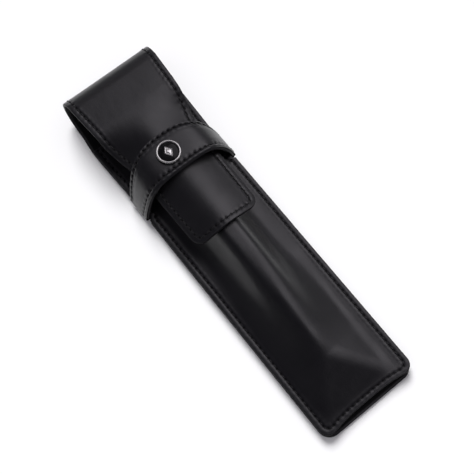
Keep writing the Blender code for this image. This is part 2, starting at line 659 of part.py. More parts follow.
# ---- flap --------------------------------------------------------------------------------------
def build_flap(looks, home):
    def fold_axis(share):
        """Point of the flap's outer face at a share of the fold's half turn."""
        angle = math.pi * share
        return FOLD_Y + FOLD_REACH * math.sin(angle), FOLD_RISE * (1 - math.cos(angle))

    riser = axis_empty("flap_draw_axis", MOUTH_Y, 0.0, None, home)
    bend = axis_empty("fold_lower_axis", *fold_axis(0.25), riser, home)
    crown = axis_empty("fold_upper_axis", *fold_axis(0.75), bend, home)
    front = axis_empty("front_draw_axis", FRONT_SPLIT_Y, TONGUE_TOP, crown, home)

    quarter = ARC_RUN / 4
    split = RISER_RUN + ARC_RUN + FOLD_Y - FRONT_SPLIT_Y
    spans = {
        "riser": (GAP, RISER_RUN + quarter, riser),
        "bend": (RISER_RUN + quarter, RISER_RUN + 3 * quarter, bend),
        "crown": (RISER_RUN + 3 * quarter, split, crown),
        "front": (split, FLAP_RUN, front),
    }
    tongue_rows = [FLAP_RUN - row for row in reversed(corner_rows(TONGUE_CORNER))]
    columns = even_steps(-1, 1, 10)
    for name, (start, end, parent) in spans.items():
        first = start + (FLAP_JOINT_GAP / 2 if name != "riser" else 0)
        last = end - (FLAP_JOINT_GAP / 2 if name != "front" else 0)
        if name == "front":
            rows = flap_rows(first, tongue_rows[0]) + tongue_rows[1:]
        else:
            rows = flap_rows(first, last)
        leather = "flap_" + name + "_leather"
        sheet(leather, flap_point, columns, rows, LEATHER, looks[leather], parent, home)
        lining = "flap_" + name + "_lining"
        inside = [min(row, FLAP_RUN - GAP) for row in rows]
        if name == "front":
            inside = inside[:-1]
        sheet(lining, lambda across, run: flap_point(across, run, GAP), columns[::2], inside,
              LINING, looks[lining], parent, home, depth=LEATHER + GAP)

    def stitch_point(side, run):
        half_width, section = flap_section(run)
        x = side * (half_width - SEAM_INSET)
        y, z = section(x)
        ahead_y, ahead_z = flap_section(run + 0.2)[1](x)
        behind_y, behind_z = flap_section(run - 0.2)[1](x)
        slope = Vector((0, ahead_y - behind_y, ahead_z - behind_z)).normalized()
        outwards = Vector((0, slope.z, -slope.y)) * (THREAD_LIFT + THREAD_RADIUS)
        return world(x, y + outwards.y, z + outwards.z)

    for name in ("riser", "bend", "crown"):
        start, end, parent = spans[name]
        first = max(start + THREAD_END_CLEAR, RISER_RUN + THREAD_START_RUN)
        for side, word in ((-1, "left"), (1, "right")):
            points = [stitch_point(side, run) for run in flap_rows(first, end - THREAD_END_CLEAR)]
            label = "flap_" + name + "_thread_" + word
            thread(label, points, THREAD_RADIUS, looks[label], parent, home)

    start, end, parent = spans["front"]
    radius = TONGUE_CORNER - SEAM_INSET
    straight = flap_rows(start + THREAD_END_CLEAR, end - TONGUE_CORNER)
    right = [stitch_point(1, run) for run in straight]
    left = [stitch_point(-1, run) for run in straight]
    half_width = flap_half_width(TONGUE_END_Y + TONGUE_CORNER) - TONGUE_CORNER
    end_row = []
    for angle in even_steps(0, math.pi / 2, 4)[1:]:
        end_row.append((half_width + radius * math.cos(angle),
                        TONGUE_END_Y + TONGUE_CORNER - radius * math.sin(angle)))
    end_row += [(half_width * share, end_row[-1][1]) for share in (0.75, 0.5, 0.25)]
    outline = end_row + [(0.0, end_row[-1][1])] + [(-x, y) for x, y in reversed(end_row)]
    lift = THREAD_LIFT + THREAD_RADIUS + 0.05
    bottom = [world(x, y, flap_top(x, y) + lift) for x, y in outline]
    thread("flap_front_thread", right + bottom + left[::-1], THREAD_RADIUS,
           looks["flap_front_thread"], parent, home)


# ---- looks -------------------------------------------------------------------------------------
BLACK_LEATHER = ((0.012, 0.011, 0.013), 0.42, 0.0)
BLACK_LINING = ((0.010, 0.010, 0.010), 0.85, 0.0)
BLACK_THREAD = ((0.006, 0.006, 0.007), 0.6, 0.0)
BRIGHT_METAL = ((0.78, 0.77, 0.75), 0.18, 1.0)
BLACK_GLOSS = ((0.006, 0.006, 0.007), 0.08, 0.0)

LOOKS = {
    BLACK_LEATHER: ["back_panel", "front_panel", "strap", "flap_riser_leather",
                    "flap_bend_leather", "flap_crown_leather", "flap_front_leather"],
    BLACK_LINING: ["back_lining", "front_lining", "strap_lining", "flap_riser_lining",
                   "flap_bend_lining", "flap_crown_lining", "flap_front_lining"],
    BLACK_THREAD: ["seam_thread_front", "seam_thread_back", "mouth_thread",
                   "strap_thread_upper", "strap_thread_lower", "flap_riser_thread_left",
                   "flap_riser_thread_right", "flap_bend_thread_left",
                   "flap_bend_thread_right", "flap_crown_thread_left",
                   "flap_crown_thread_right", "flap_front_thread"],
    BRIGHT_METAL: ["badge_bezel", "badge_emblem", "badge_rivet", "badge_washer"],
    BLACK_GLOSS: ["badge_disc"],
}


def main():
    for obj in list(bpy.data.objects):
        bpy.data.objects.remove(obj)
    home = collection("fountain_pen_case")
    cutters = collection("cutters")
    looks = {}
    for (colour, roughness, metallic), names in LOOKS.items():
        for name in names:
            looks[name] = material(name, colour, roughness, metallic)
    build_pouch(looks, home, cutters)
    build_strap(looks, home, cutters)
    build_badge(looks, home)
    build_flap(looks, home)


main()
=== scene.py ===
import math

import bpy
import numpy as np
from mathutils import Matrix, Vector


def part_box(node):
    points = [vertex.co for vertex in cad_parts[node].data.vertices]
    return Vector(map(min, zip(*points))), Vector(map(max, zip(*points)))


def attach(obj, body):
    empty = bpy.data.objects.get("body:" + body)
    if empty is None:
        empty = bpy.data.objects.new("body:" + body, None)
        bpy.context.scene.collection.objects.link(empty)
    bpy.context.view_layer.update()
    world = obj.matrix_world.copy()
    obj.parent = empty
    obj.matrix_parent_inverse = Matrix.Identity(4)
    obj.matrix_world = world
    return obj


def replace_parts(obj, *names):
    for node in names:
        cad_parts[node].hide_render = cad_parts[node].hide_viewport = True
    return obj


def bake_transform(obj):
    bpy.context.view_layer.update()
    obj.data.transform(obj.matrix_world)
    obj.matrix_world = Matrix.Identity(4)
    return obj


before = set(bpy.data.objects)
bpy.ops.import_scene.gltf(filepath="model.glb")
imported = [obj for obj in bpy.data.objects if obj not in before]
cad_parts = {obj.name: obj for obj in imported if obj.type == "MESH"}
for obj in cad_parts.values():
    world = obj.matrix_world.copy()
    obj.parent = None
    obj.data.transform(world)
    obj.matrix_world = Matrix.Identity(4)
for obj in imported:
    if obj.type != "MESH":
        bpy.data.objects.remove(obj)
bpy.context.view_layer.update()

# Looks of the fountain pen case. Lengths are in millimetres: x across, y from the pouch's bottom
# edge towards the fold, z up from the rest face. world_points() turns them into the row frame.
MM = 0.001
MIDDLE_Y = -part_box("back_panel")[0].y / MM

# ---- the case's own dimensions -----------------------------------------------------------------
POUCH_HALF_WIDTH, MOUTH_HALF_WIDTH, MOUTH_Y, CORNER_RADIUS = 21.15, 21.8, 143.4, 5.0
LEATHER, LINING, LINING_DEPTH = 1.2, 0.55, 1.3
RIM = 0.32                       # how far a cut edge bulges out of its outline
SEAM_INSET = 2.2
FLANGE_TOP, RIDGE_TOP, RIDGE_X, RIDGE_FOOT = 4.3, 15.4, -0.8, 17.2
RIDGE_HALF, RIDGE_SHARPNESS, TENT_FOOT, TENT_ROUND = 7.6, 4.2, 16.0, 0.13
APEX_X, APEX_Y, APEX_TOP, HIP_FOOT_Y, CREST_FULL_Y = -2.0, 24.7, 10.0, 5.0, 82.0
HIP_BLEND, FOOT_BLEND = 1.4, 0.8
FRONT_SETBACK, SETBACK_REACH = 2.4, 13.0
TONGUE_TOP, TONGUE_HALF_WIDTH, TONGUE_END_Y, TONGUE_CORNER = 17.8, 14.75, 83.2, 4.5
TONGUE_SAG, SAG_HALF, SAG_ROUND, FLAP_SPREAD = 4.8, 16.0, 0.45, 3.2
TONGUE_TAPER, SPREAD_FROM_Y, SPREAD_TO_Y = 0.02, 118.0, 140.0
FOLD_TAPER, FOLD_TAPER_FROM_Y, RISER_TAPER = 0.05, 141.0, 0.7
FLAT_FROM_Y, FLAT_TO_Y, FOLD_Y, FOLD_TOP, FOLD_HALF_WIDTH = 126.0, 143.0, 154.7, 18.9, 20.5
FOLD_REACH, FOLD_RISE = 9.0, 9.45
STRAP_TOP, STRAP_HALF_WIDTH, STRAP_SQUARENESS, STRAP_NOTCH = 20.2, 22.1, 5.0, 0.8
STRAP_ARCH_FOOT, STRAP_END_Z, STRAP_END_X = 3.2, 1.5, 17.4
STRAP_LOW_Y, STRAP_HIGH_Y = (107.3, 109.9), (118.2, 127.0)
STRAP_LOW_BOW, STRAP_HIGH_BOW = 3, 2.3
STRAP_NOTCH_CLEAR, STRAP_NOTCH_RUN = 0.4, 0.6
BADGE_X, BADGE_Y, BADGE_BASE, BADGE_RADIUS = -1.5, 118.1, 20.4, 4.75

RISER_RUN = FOLD_Y - MOUTH_Y
ARC_RUN = math.pi * (FOLD_REACH + FOLD_RISE) / 2
TOP_RUN = FOLD_Y - TONGUE_END_Y
FLAP_RUN = RISER_RUN + ARC_RUN + TOP_RUN

# ---- stitching ---------------------------------------------------------------------------------
PITCH = 2.42                     # one stitch and its gap
STITCH = 1.5                     # the thread seen between two holes
THREAD = 0.23                    # thread radius
CHANNEL_DEPTH, CHANNEL_WIDTH = 0.13, 0.42
BACK_SINK = 0.27                 # the back's stitches lie in a groove, clear of the table
HOLE_DEPTH, PUCKER = 0.25, 0.09  # dip at a hole, and rise of the leather beside a stitch
STITCH_LIFT, STITCH_DIP = 0.8, 0.48     # of a stitch's middle, in thread radii, and of its ends
SEAM_STEP = 0.3                  # spacing of a row's points
SEAM_END_CLEAR = 1.0             # the side rows end this far short of the mouth
MOUTH_ROW_CLEAR = 1.6            # the mouth's row ends this far short of the side rows
FLAP_ROW_START = 4.2             # the flap's row starts this far round the fold

# ---- lining ------------------------------------------------------------------------------------
LINING_INSET, LINING_BULGE = 1.1, 0.12
STRAP_ROOM_HALF_WIDTH = 16.6     # half width of the lining where the strap's ends reach in
STRAP_ROOM_RUN = (-37.6, -36.9, -24.6, -23.9)   # on the back: narrowing, and widening again
STRAP_ROOM_Y = (106.0, 119.4)    # on the front
WARP, WEFT = 0.42, 0.30          # spacing of the cloth's ribs, both ways


# ---- shape functions ---------------------------------------------------------------------------
def mix(start, end, amount):
    return start + (end - start) * amount


def ramp(value, start, end):
    amount = np.clip((value - start) / (end - start), 0.0, 1.0)
    return amount * amount * (3 - 2 * amount)


def soft_min(first, second, blend):
    overlap = np.maximum(blend - np.abs(first - second), 0.0) / blend
    return np.minimum(first, second) - overlap * overlap * blend / 4


def soft_max(first, second, blend):
    return -soft_min(-first, -second, blend)


def rounded_end(half_width, radius, distance):
    inward = np.clip(radius - np.maximum(distance, 0.0), 0.0, radius)
    return half_width - radius + np.sqrt(radius * radius - inward * inward)


def pouch_half_width(y, inset=0.0):
    straight = mix(POUCH_HALF_WIDTH, MOUTH_HALF_WIDTH, ramp(y, SPREAD_FROM_Y, MOUTH_Y))
    before, after = STRAP_LOW_Y[0] - STRAP_NOTCH_CLEAR, STRAP_HIGH_Y[0] + STRAP_NOTCH_CLEAR
    notch = ramp(y, before - STRAP_NOTCH_RUN, before)
    notch = notch * (1 - ramp(y, after, after + STRAP_NOTCH_RUN))
    return rounded_end(straight - STRAP_NOTCH * notch - inset, CORNER_RADIUS - inset, y - inset)


def crest_rise(y):
    along = np.clip((y - APEX_Y) / (CREST_FULL_Y - APEX_Y), 0.0, 1.0)
    return mix(APEX_TOP, RIDGE_TOP, np.sin(along * math.pi / 2)) - FLANGE_TOP


def rounded_slope(share, rounding):
    return (np.hypot(share, rounding) - rounding) / (math.hypot(1, rounding) - rounding)


def ridge_section(x, y):
    across = np.abs(x - mix(APEX_X, RIDGE_X, ramp(y, APEX_Y, CREST_FULL_Y)))
    bell = 1 / (1 + (across / RIDGE_HALF) ** RIDGE_SHARPNESS)
    foot = 1 / (1 + (RIDGE_FOOT / RIDGE_HALF) ** RIDGE_SHARPNESS)
    bell = (bell - foot) / (1 - foot)
    tent = 1 - rounded_slope(across / TENT_FOOT, TENT_ROUND)
    return mix(tent, bell, ramp(y, APEX_Y + 2, CREST_FULL_Y - 4))


def front_y(x, y):
    """Where the front's flat pattern comes to lie, as moulding it over the pen drew its end in."""
    middle = 1 - np.abs(x / POUCH_HALF_WIDTH) ** 3
    return y + FRONT_SETBACK * middle * (1 - ramp(y, 0, SETBACK_REACH))


def foot_crease(x, y):
    """The narrow crease in the leather where it was moulded down beside the ridge."""
    shown = ramp(y, 50, 70) * (1 - ramp(y, 98, 104))
    crease = 0.2 * np.exp(-((x - 9.4) / 0.5) ** 2)
    fullness = 0.1 * np.exp(-((x - 8.5) / 0.45) ** 2)
    return shown * (crease - fullness)


def front_height(x, y):
    slope = crest_rise(y) * ridge_section(x, y)
    hip = (APEX_TOP - FLANGE_TOP) * (y - HIP_FOOT_Y) / (APEX_Y - HIP_FOOT_Y)
    return FLANGE_TOP + soft_max(soft_min(slope, hip, HIP_BLEND), 0.0, FOOT_BLEND)


def flap_top(x, y):
    flat = ramp(y, FLAT_FROM_Y, FLAT_TO_Y)
    sag = TONGUE_SAG * (1 - flat) * rounded_slope((x - RIDGE_X) / SAG_HALF, SAG_ROUND)
    return mix(TONGUE_TOP, FOLD_TOP, flat) - sag


def flap_half_width(y, inset=0.0):
    width = TONGUE_HALF_WIDTH + TONGUE_TAPER * (y - TONGUE_END_Y)
    width = width + FLAP_SPREAD * ramp(y, SPREAD_FROM_Y, SPREAD_TO_Y)
    width = width + FOLD_TAPER * np.maximum(y - FOLD_TAPER_FROM_Y, 0.0)
    return rounded_end(width - inset, TONGUE_CORNER - inset, y - TONGUE_END_Y - inset)


def strip_half_width(run, inset=0.0):
    """Half width of the one long piece of leather that is the pouch's back, the fold and the flap.

    run is 0 at the mouth, below 0 on the back and above 0 round the fold and down the flap.
    """
    run = np.asarray(run, float)
    riser = mix(MOUTH_HALF_WIDTH, FOLD_HALF_WIDTH, ramp(run, 0, RISER_RUN) * RISER_TAPER) - inset
    share = (run - RISER_RUN) / ARC_RUN
    riser_end = mix(MOUTH_HALF_WIDTH, FOLD_HALF_WIDTH, RISER_TAPER)
    arc = mix(riser_end, flap_half_width(FOLD_Y), share) - inset
    top = flap_half_width(FOLD_Y - (run - RISER_RUN - ARC_RUN), inset)
    return np.select([run < 0, run < RISER_RUN, run < RISER_RUN + ARC_RUN],
                     [pouch_half_width(MOUTH_Y + run, inset), riser, arc], top)


def strip_points(x, run):
    """Points of the strip's outer face."""
    share = np.clip((run - RISER_RUN) / ARC_RUN, 0, 1)
    y_top = FOLD_Y - (run - RISER_RUN - ARC_RUN)
    y = np.select([run < RISER_RUN, run < RISER_RUN + ARC_RUN],
                  [MOUTH_Y + run, FOLD_Y + FOLD_REACH * np.sin(math.pi * share)], y_top)
    z = np.select([run < RISER_RUN, run < RISER_RUN + ARC_RUN],
                  [0 * run, FOLD_RISE * (1 - np.cos(math.pi * share))], flap_top(x, y_top))
    return np.stack([x, y, z], -1)


def strap_profile():
    """The strap's outer face seen along y, as points close together from one end to the other."""
    angle = np.linspace(0, math.pi / 2, 90)
    arch = np.stack([STRAP_HALF_WIDTH * np.sin(angle) ** (2 / STRAP_SQUARENESS),
                     mix(STRAP_ARCH_FOOT, STRAP_TOP, np.cos(angle) ** 2)], -1)
    radius = STRAP_ARCH_FOOT - STRAP_END_Z
    turn = np.linspace(0, math.pi / 2, 9)[1:]
    curl = np.stack([STRAP_HALF_WIDTH - radius * (1 - np.cos(turn)),
                     STRAP_ARCH_FOOT - radius * np.sin(turn)], -1)
    half = np.concatenate([arch, curl, [(STRAP_END_X + RIM, STRAP_END_Z)]])
    return np.concatenate([half[:0:-1] * (-1, 1), half])


def strap_edges(x, z):
    across = np.where(z > STRAP_ARCH_FOOT, np.minimum(np.abs(x) / STRAP_HALF_WIDTH, 1.0), 1.0)
    return (mix(STRAP_LOW_Y[1], STRAP_LOW_Y[0], across ** STRAP_LOW_BOW),
            mix(STRAP_HIGH_Y[1], STRAP_HIGH_Y[0], across ** STRAP_HIGH_BOW))


# ---- grids -------------------------------------------------------------------------------------
def unit(vectors):
    return vectors / np.maximum(np.linalg.norm(vectors, axis=-1, keepdims=True), 1e-12)


def world_points(points):
    return (np.asarray(points, float) - (0, MIDDLE_Y, 0)) * MM


def grid_normals(points):
    return unit(np.cross(np.gradient(points, axis=1), np.gradient(points, axis=0)))


def columns(half_width, fine=5.2, step=0.38, middle=0.85):
    """x across a sheet, for each row's half width: close together along both edges."""
    edge = np.arange(0, fine, step)
    count = int(round(2 * (20 - fine) / middle))
    inner = np.linspace(-1, 1, count + 1)
    half_width = np.asarray(half_width, float)[:, None]
    left = -half_width + edge
    return np.concatenate([left, (half_width - fine) * inner, -left[:, ::-1]], axis=1)


def steps(start, end, step):
    return np.linspace(start, end, max(int(round(abs(end - start) / step)), 1) + 1)


def corner_steps(radius):
    """Distances from an end with rounded corners, as far as the corners reach."""
    return radius * (1 - np.cos(np.linspace(0, math.pi / 2, 13)))


def perimeter(rows, cols):
    """Indices round a grid of vertices, as one closed loop."""
    index = np.arange(rows * cols).reshape(rows, cols)
    return np.concatenate([index[0, :-1], index[:-1, -1], index[-1, :0:-1], index[:0:-1, 0]])


def outward(points, normals):
    """For each vertex on a grid's rim, the direction out of the sheet. It is 0 elsewhere."""
    rows, cols = points.shape[:2]
    loop = perimeter(rows, cols)
    flat, facing = points.reshape(-1, 3), normals.reshape(-1, 3)
    tangent = np.roll(flat[loop], -1, 0) - np.roll(flat[loop], 1, 0)
    found = np.zeros_like(flat)
    found[loop] = unit(np.cross(tangent, facing[loop]))
    return found.reshape(points.shape)


def nearest_on(path, places):
    """Distance from a path to each place, distance along it and its length, in the flat sheet."""
    tangent = unit(np.gradient(path, axis=0))
    along = along_path(path)
    found = np.empty(len(places), int)
    for first in range(0, len(places), 2000):
        part = places[first:first + 2000]
        apart = ((part[:, None, :] - path[None]) ** 2).sum(-1)
        found[first:first + 2000] = apart.argmin(1)
    gap = places - path[found]
    ahead = (gap * tangent[found]).sum(1)
    across = gap[:, 0] * tangent[found, 1] - gap[:, 1] * tangent[found, 0]
    beyond = np.where((found == 0) & (ahead < 0) | (found == len(path) - 1) & (ahead > 0),
                      np.abs(ahead), 0)
    return np.hypot(across, beyond), along[found] + ahead, along[-1]


def seam_fields(paths, places):
    """Distance to the nearest row of stitches, and where along it, in stitches."""
    best = np.full(len(places), 99.0)
    phase = np.zeros(len(places))
    for path in paths:
        across, along, total = nearest_on(path, places)
        count = round(total / PITCH)
        closer = across < best
        best = np.where(closer, across, best)
        phase = np.where(closer, along * count / total, phase)
    return best, phase


def sunk(across, phase):
    """How far the leather is drawn in by its stitches, in mm."""
    channel = np.exp(-(across / CHANNEL_WIDTH) ** 2)
    hole = 0.5 + 0.5 * np.cos(2 * math.pi * phase)
    pucker = PUCKER * (1 - hole) * np.exp(-((across - 1.0) / 0.45) ** 2)
    return channel * (0.7 * CHANNEL_DEPTH + HOLE_DEPTH * hole ** 3) - pucker


# ---- building meshes ---------------------------------------------------------------------------
def link(obj):
    bpy.context.scene.collection.objects.link(obj)
    return obj


def mesh_piece(name, vertices, faces, looks, faces_look=None, fields=None, sharp=50):
    mesh = bpy.data.meshes.new(name)
    mesh.from_pydata(world_points(vertices).tolist(), [], faces)
    for look in looks:
        mesh.materials.append(look)
    if faces_look is not None:
        mesh.polygons.foreach_set("material_index", faces_look)
    for field, values in (fields or {}).items():
        made = mesh.attributes.new(field, "FLOAT", "POINT")
        made.data.foreach_set("value", np.asarray(values, np.float32))
    mesh.shade_smooth()
    mesh.set_sharp_from_angle(angle=math.radians(sharp))
    mesh.validate()
    return link(bpy.data.objects.new(name, mesh))


def slab(name, points, normals, rims, thickness, looks, fields, bulge=RIM):
    """A closed sheet of leather or lining: outer face, inner face and rounded cut edges."""
    rows, cols = points.shape[:2]
    outer = points.reshape(-1, 3)
    facing = normals.reshape(-1, 3)
    inner = outer - facing * thickness
    loop = perimeter(rows, cols)
    size = rows * cols
    rings, bands = [loop], 6
    extra = []
    for band in range(1, bands):
        angle = math.pi * band / bands
        side = math.sin(angle) ** 0.7
        up = math.copysign(abs(math.cos(angle)) ** 0.8, math.cos(angle))
        middle = (outer[loop] + inner[loop]) / 2
        ring = middle + facing[loop] * thickness / 2 * up + rims.reshape(-1, 3)[loop] * bulge * side
        rings.append(2 * size + len(extra) * len(loop) + np.arange(len(loop)))
        extra.append(ring)
    rings.append(loop + size)
    index = np.arange(size).reshape(rows, cols)
    quads = np.stack([index[:-1, :-1], index[:-1, 1:], index[1:, 1:], index[1:, :-1]], -1)
    quads = quads.reshape(-1, 4)
    faces, look_of = [quads, quads[:, ::-1] + size], [np.zeros(len(quads)), np.full(len(quads), 2)]
    for upper, lower in zip(rings, rings[1:]):
        wall = np.stack([upper, lower, np.roll(lower, -1), np.roll(upper, -1)], -1)
        faces.append(wall)
        look_of.append(np.ones(len(wall)))
    vertices = np.concatenate([outer, inner, *extra])
    spread = {}
    for field, values in fields.items():
        values = np.asarray(values, float).reshape(-1)
        spread[field] = np.concatenate([values, values] + [values[loop]] * len(extra))
    look_of = np.concatenate(look_of).astype(np.int32)
    return mesh_piece(name, vertices, np.concatenate(faces).tolist(), looks, look_of, spread)


def along_path(path):
    """Distance along a path at each of its points."""
    return np.concatenate([[0], np.cumsum(np.linalg.norm(np.diff(path, axis=0), axis=1))])


def sample(values, lengths, at):
    """The rows of values, known at the distances lengths, at other distances."""
    return np.stack([np.interp(at, lengths, column) for column in values.T], -1)


def ring_faces(index):
    """Faces between rings of vertices that follow each other."""
    return np.stack([index[:-1], np.roll(index[:-1], -1, 1), np.roll(index[1:], -1, 1), index[1:]],
                    -1).reshape(-1, 4)


def stitch_row(name, points, normals, look, lengths, count):
    """One row of stitches along a surface line: each is a twisted thread that dips at both ends.

    lengths are the distances along the line in the flat leather, where the holes are even.
    """
    pitch = lengths[-1] / count
    around, along = 8, 13
    turn = np.linspace(0, 2 * math.pi, around, endpoint=False)
    part = np.linspace(-1, 1, along)
    vertices, faces = [], []
    for stitch in range(count):
        distance = (stitch + 0.5) * pitch + part * STITCH / 2
        centre = sample(points, lengths, distance)
        facing = unit(sample(normals, lengths, distance))
        tangent = unit(np.gradient(centre, axis=0))
        side = unit(np.cross(facing, tangent))
        wobble = math.sin(stitch * 12.9898) * 0.035
        lift = THREAD * STITCH_LIFT - STITCH_DIP * np.abs(part) ** 3.5
        slant = 0.10 * part + wobble
        centre = centre + facing * lift[:, None] + side * slant[:, None]
        tangent = unit(np.gradient(centre, axis=0))
        facing = unit(np.cross(tangent, side))
        twist = 2 * (turn[None, :] - 3.4 * part[:, None] * 0.9)
        radius = THREAD * (1 + 0.13 * np.cos(twist)) * (1 - 0.12 * part[:, None] ** 4)
        ring = (centre[:, None, :]
                + side[:, None, :] * (radius * np.cos(turn))[..., None]
                + facing[:, None, :] * (radius * 0.86 * np.sin(turn))[..., None])
        base = len(vertices) * along * around
        vertices.append(ring.reshape(-1, 3))
        index = base + np.arange(along * around).reshape(along, around)
        faces += ring_faces(index).tolist()
        faces += [index[0, ::-1].tolist(), index[-1].tolist()]
    return mesh_piece(name, np.concatenate(vertices), faces, [look], sharp=80)


# ---- materials ---------------------------------------------------------------------------------
class Look:
    """A material's node tree, with short calls for the nodes that these looks use."""

    def __init__(self, name, colour, roughness, metallic=0.0, **sockets):
        self.material = bpy.data.materials.new(name)
        self.material.use_nodes = True
        self.tree = self.material.node_tree
        self.shader = self.tree.nodes["Principled BSDF"]
        self.shader.inputs["Base Color"].default_value = (*colour, 1)
        self.shader.inputs["Roughness"].default_value = roughness
        self.shader.inputs["Metallic"].default_value = metallic
        for socket, value in sockets.items():
            self.shader.inputs[socket.replace("_", " ")].default_value = value
        self.place = self.node("ShaderNodeMapping")
        self.place.inputs["Scale"].default_value = (1 / MM,) * 3
        self.wire(self.node("ShaderNodeTexCoord").outputs["Object"], self.place.inputs["Vector"])

    def node(self, kind, **settings):
        made = self.tree.nodes.new(kind)
        for setting, value in settings.items():
            setattr(made, setting, value)
        return made

    def wire(self, source, target):
        self.tree.links.new(source, target)

    def feed(self, target, value):
        if isinstance(value, (int, float)):
            target.default_value = value
        else:
            self.wire(value, target)

    def math(self, operation, first, second=0.0, third=0.0):
        made = self.node("ShaderNodeMath", operation=operation)
        for target, value in zip(made.inputs, (first, second, third)):
            self.feed(target, value)
        return made.outputs[0]

    def noise(self, scale, detail=3.0, rough=0.5, stretch=None):
        made = self.node("ShaderNodeTexNoise")
        made.inputs["Scale"].default_value = scale
        made.inputs["Detail"].default_value = detail
        made.inputs["Roughness"].default_value = rough
        self.wire(self.stretched(stretch), made.inputs["Vector"])
        return made.outputs["Fac"]

    def stretched(self, stretch):
        if stretch is None:
            return self.place.outputs["Vector"]
        made = self.node("ShaderNodeMapping")
        made.inputs["Scale"].default_value = stretch
        self.wire(self.place.outputs["Vector"], made.inputs["Vector"])
        return made.outputs["Vector"]

    def cells(self, scale, smooth):
        made = self.node("ShaderNodeTexVoronoi", feature="SMOOTH_F1")
        made.inputs["Scale"].default_value = scale
        made.inputs["Smoothness"].default_value = smooth
        self.wire(self.place.outputs["Vector"], made.inputs["Vector"])
        return made.outputs["Distance"]

    def field(self, name):
        return self.node("ShaderNodeAttribute", attribute_name=name).outputs["Fac"]

    def spread(self, value, low, high, to_low, to_high):
        made = self.node("ShaderNodeMapRange", interpolation_type="SMOOTHSTEP")
        for socket, number in zip(made.inputs, (value, low, high, to_low, to_high)):
            self.feed(socket, number)
        return made.outputs["Result"]

    def colours(self, amount, low, high):
        made = self.node("ShaderNodeMix", data_type="RGBA")
        self.feed(made.inputs[0], amount)
        made.inputs[6].default_value = (*low, 1)
        made.inputs[7].default_value = (*high, 1)
        self.wire(made.outputs[2], self.shader.inputs["Base Color"])
        return made

    def bumps(self, heights):
        """Heights in mm, each as (output, amount)."""
        normal = None
        for height, amount in heights:
            made = self.node("ShaderNodeBump")
            made.inputs["Strength"].default_value = 1.0
            made.inputs["Distance"].default_value = amount * MM
            self.wire(height, made.inputs["Height"])
            if normal is not None:
                self.wire(normal, made.inputs["Normal"])
            normal = made.outputs["Normal"]
        self.wire(normal, self.shader.inputs["Normal"])


def calf_leather():
    """Smooth black calf: faint pores, a soft uneven polish, dimples at the stitch holes, painted shade
    in the holes and a painted highlight along the cut edges.
    """
    look = Look("calf_leather", (0.006, 0.0055, 0.0065), 0.4, Coat_Weight=0.25,
                Coat_Roughness=0.3, Specular_IOR_Level=0.5)
    soft = look.noise(0.09, 2.0)
    fine = look.noise(1.6, 4.0, 0.6)
    pores = look.cells(3.4, 0.35)
    wrinkles = look.noise(0.55, 5.0, 0.55, (1.0, 0.45, 1.0))
    across = look.math("ABSOLUTE", look.field("seam_across"))
    phase = look.field("seam_phase")
    to_hole = look.math("MULTIPLY", look.math("PINGPONG", phase, 0.5), PITCH)
    from_hole = look.math("SQRT", look.math("ADD", look.math("MULTIPLY", across, across),
                                            look.math("MULTIPLY", to_hole, to_hole)))
    hole = look.spread(from_hole, 0.28, 0.56, 1.0, 0.0)
    # painted highlight: the base colour is lightened within 0.45 mm of a cut edge, broken up by noise,
    # for the light caught on the edge's rounding
    painted_edge_highlight = look.spread(look.field("edge_mm"), 0.0, 0.45, 1.0, 0.0)
    painted_edge_highlight = look.math("MULTIPLY", painted_edge_highlight, look.spread(look.noise(0.7, 3.0), 0.35, 0.7, 0.2, 1.0))
    grain_tone_and_edge_highlight = look.math("MULTIPLY_ADD", painted_edge_highlight, 1.3, look.math("MULTIPLY", fine, 0.35))
    base = look.colours(grain_tone_and_edge_highlight, (0.0010, 0.0009, 0.0015), (0.0052, 0.0048, 0.0066))
    # painted shade: the colour goes nearly black in each stitch hole
    painted_hole_shade = look.node("ShaderNodeMix", data_type="RGBA")
    look.wire(hole, painted_hole_shade.inputs[0])
    look.wire(base.outputs[2], painted_hole_shade.inputs[6])
    painted_hole_shade.inputs[7].default_value = (0.0003, 0.0003, 0.0004, 1)
    look.wire(painted_hole_shade.outputs[2], look.shader.inputs["Base Color"])
    rough = look.spread(soft, 0.3, 0.7, 0.34, 0.44)
    rough = look.math("MULTIPLY_ADD", fine, 0.06, rough)
    rough = look.math("MULTIPLY_ADD", hole, 0.55, rough)
    look.wire(rough, look.shader.inputs["Roughness"])
    look.bumps([(soft, 0.2), (wrinkles, 0.05), (pores, 0.022), (fine, 0.012), (hole, -0.3)])
    return look.material


def cut_edge():
    """Burnished cut edge of the leather: dark, waxed and slightly uneven."""
    look = Look("burnished_edge", (0.006, 0.0055, 0.006), 0.5, Specular_IOR_Level=0.22)
    fibre = look.noise(2.2, 4.0, 0.6)
    wave = look.noise(0.35, 2.0)
    look.colours(fibre, (0.0025, 0.0024, 0.0028), (0.009, 0.0082, 0.009))
    look.wire(look.spread(fibre, 0.3, 0.7, 0.42, 0.6), look.shader.inputs["Roughness"])
    look.bumps([(wave, 0.10), (fibre, 0.03)])
    return look.material


def flesh_side():
    """The leather's back, a short black nap, with a painted sheen near its cut edges."""
    look = Look("flesh_side", (0.006, 0.006, 0.006), 0.9, Specular_IOR_Level=0.08)
    nap = look.noise(3.0, 5.0, 0.65)
    # painted sheen: the colour is lightened near the cut edges, for the light caught on the edge
    painted_edge_sheen = look.spread(look.field("edge_mm"), 0.3, 0.9, 1.0, 0.0)
    look.colours(look.math("MULTIPLY_ADD", painted_edge_sheen, 0.7, look.math("MULTIPLY", nap, 0.25)),
                 (0.0012, 0.0012, 0.0014), (0.05, 0.048, 0.052))
    look.wire(look.spread(nap, 0.3, 0.7, 0.8, 0.95), look.shader.inputs["Roughness"])
    look.bumps([(nap, 0.06)])
    return look.material


